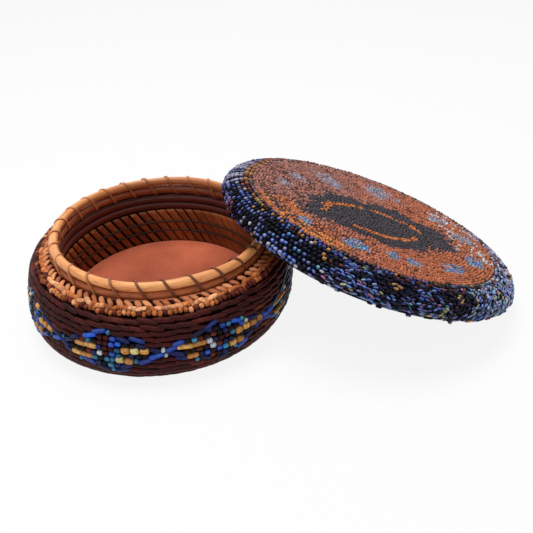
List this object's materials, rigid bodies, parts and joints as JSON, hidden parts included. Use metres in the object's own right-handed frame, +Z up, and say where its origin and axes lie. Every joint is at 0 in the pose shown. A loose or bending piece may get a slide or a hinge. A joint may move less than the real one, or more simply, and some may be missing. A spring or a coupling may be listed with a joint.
{
  "type": "beaded round box",
  "caption": "Low round basket with a lashed willow collar, a bulging wall of strung beads with a diamond band, and a flat beaded lid that lies off it, leaning on the collar.",
  "frame": {"origin": "on the underside of the base, at the middle of the beaded foot", "axes": "+Z up, +X towards the lid, -Y towards the viewer of the picture"},
  "size_m": [0.2321, 0.1472, 0.0631],
  "materials": {
    "willow": "satin",
    "splint": "matte",
    "clay": "satin",
    "umber": "matte",
    "thread": "matte",
    "amber_fibre": "matte",
    "maroon_bead": "satin",
    "amber_bead": "satin",
    "navy_bead": "gloss",
    "blue_bead": "gloss",
    "teal_bead": "gloss",
    "gold_bead": "gloss",
    "cream_bead": "gloss",
    "lilac_bead": "gloss"
  },
  "bodies": {
    "basket": {"base_board": "splint", "floor_lining": "clay", "wall_core": "umber", "ribs": "splint", "weft_hoop_lower": "thread", "weft_hoop_upper": "thread", "inner_hoop_lower": "willow", "inner_hoop_upper": "willow", "rim_rod_upper": "willow", "rim_rod_lower": "willow", "rim_lashing": "thread", "shoulder_hoop": "willow", "shoulder_stitches": "amber_fibre", "shoulder_strand_upper": "amber_bead", "shoulder_strand_lower": "amber_bead", "wall_strand_01": "maroon_bead", "wall_strand_02": "maroon_bead", "wall_strand_03": "maroon_bead", "wall_strand_04": "maroon_bead", "wall_strand_05": "maroon_bead", "wall_strand_06": "maroon_bead", "wall_strand_07": "maroon_bead", "wall_strand_08": "maroon_bead", "wall_strand_09": "maroon_bead", "wall_strand_10": "maroon_bead", "wall_strand_11": "maroon_bead", "wall_strand_12": "maroon_bead", "wall_strand_13": "maroon_bead", "band_beads_blue": "blue_bead", "band_beads_teal": "teal_bead", "band_beads_gold": "gold_bead", "band_beads_cream": "cream_bead"},
    "lid": {"lid_core": "umber", "lid_board": "splint", "lid_mat": "amber_bead", "lid_border_strand": "gold_bead", "lid_strand_01": "navy_bead", "lid_strand_02": "navy_bead", "lid_strand_03": "navy_bead", "lid_strand_04": "navy_bead", "lid_strand_05": "navy_bead", "lid_strand_06": "navy_bead", "lid_strand_07": "navy_bead", "lid_beads_blue": "blue_bead", "lid_beads_teal": "teal_bead", "lid_beads_lilac": "lilac_bead", "lid_beads_gold": "gold_bead"}
  },
  "joints": [
    {"name": "lid_lift", "type": "slide", "parent": "basket", "child": "lid", "axis": [0, 0, 1], "range_m": [0, 0.12]}
  ]
}
